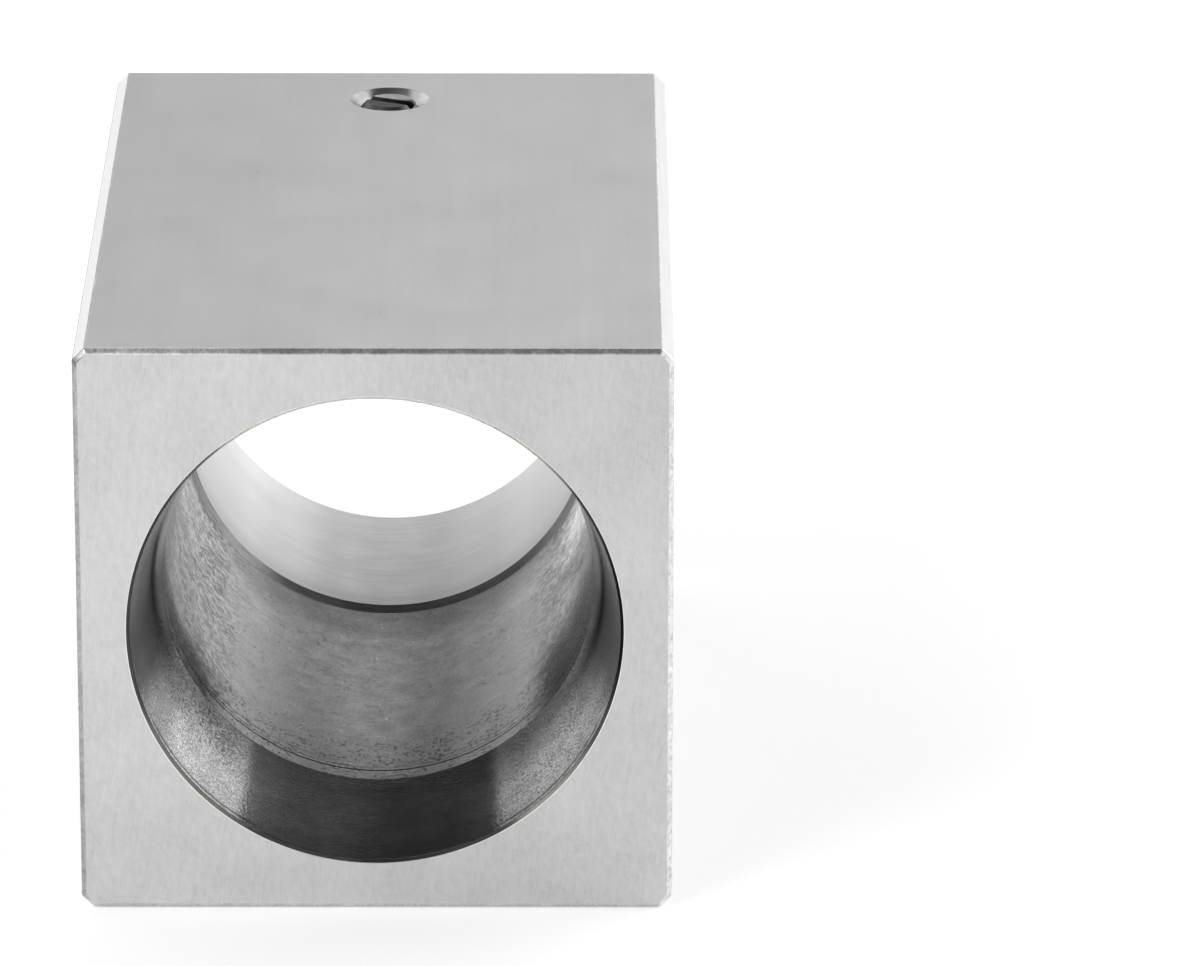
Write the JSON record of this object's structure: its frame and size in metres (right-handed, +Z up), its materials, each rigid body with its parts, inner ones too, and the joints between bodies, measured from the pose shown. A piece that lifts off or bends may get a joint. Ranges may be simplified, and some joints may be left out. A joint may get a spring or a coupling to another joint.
{
  "type": "collet block",
  "caption": "Square ground steel block with a tapered and stepped collet bore through it and a slotted key screw through one flat, for indexing a collet in a vise.",
  "frame": {"origin": "centre of the flat that the block stands on", "axes": "+Z up through the flat that carries the key screw, +Y along the collet bore from the tapered nose to the rear, +X to the right seen from the nose"},
  "size_m": [0.0442, 0.0694, 0.0442],
  "materials": {
    "ground_steel": "hardened, surface ground flats and ends, turned and ground bore",
    "screw_steel": "plain machined alloy steel"
  },
  "bodies": {
    "block": {"block": "ground_steel"},
    "key": {"key_screw": "screw_steel"}
  },
  "joints": [
    {"name": "key_advance", "type": "slide", "parent": "block", "child": "key", "axis": [0, 0, -1], "range_m": [0, 0.00159]}
  ]
}
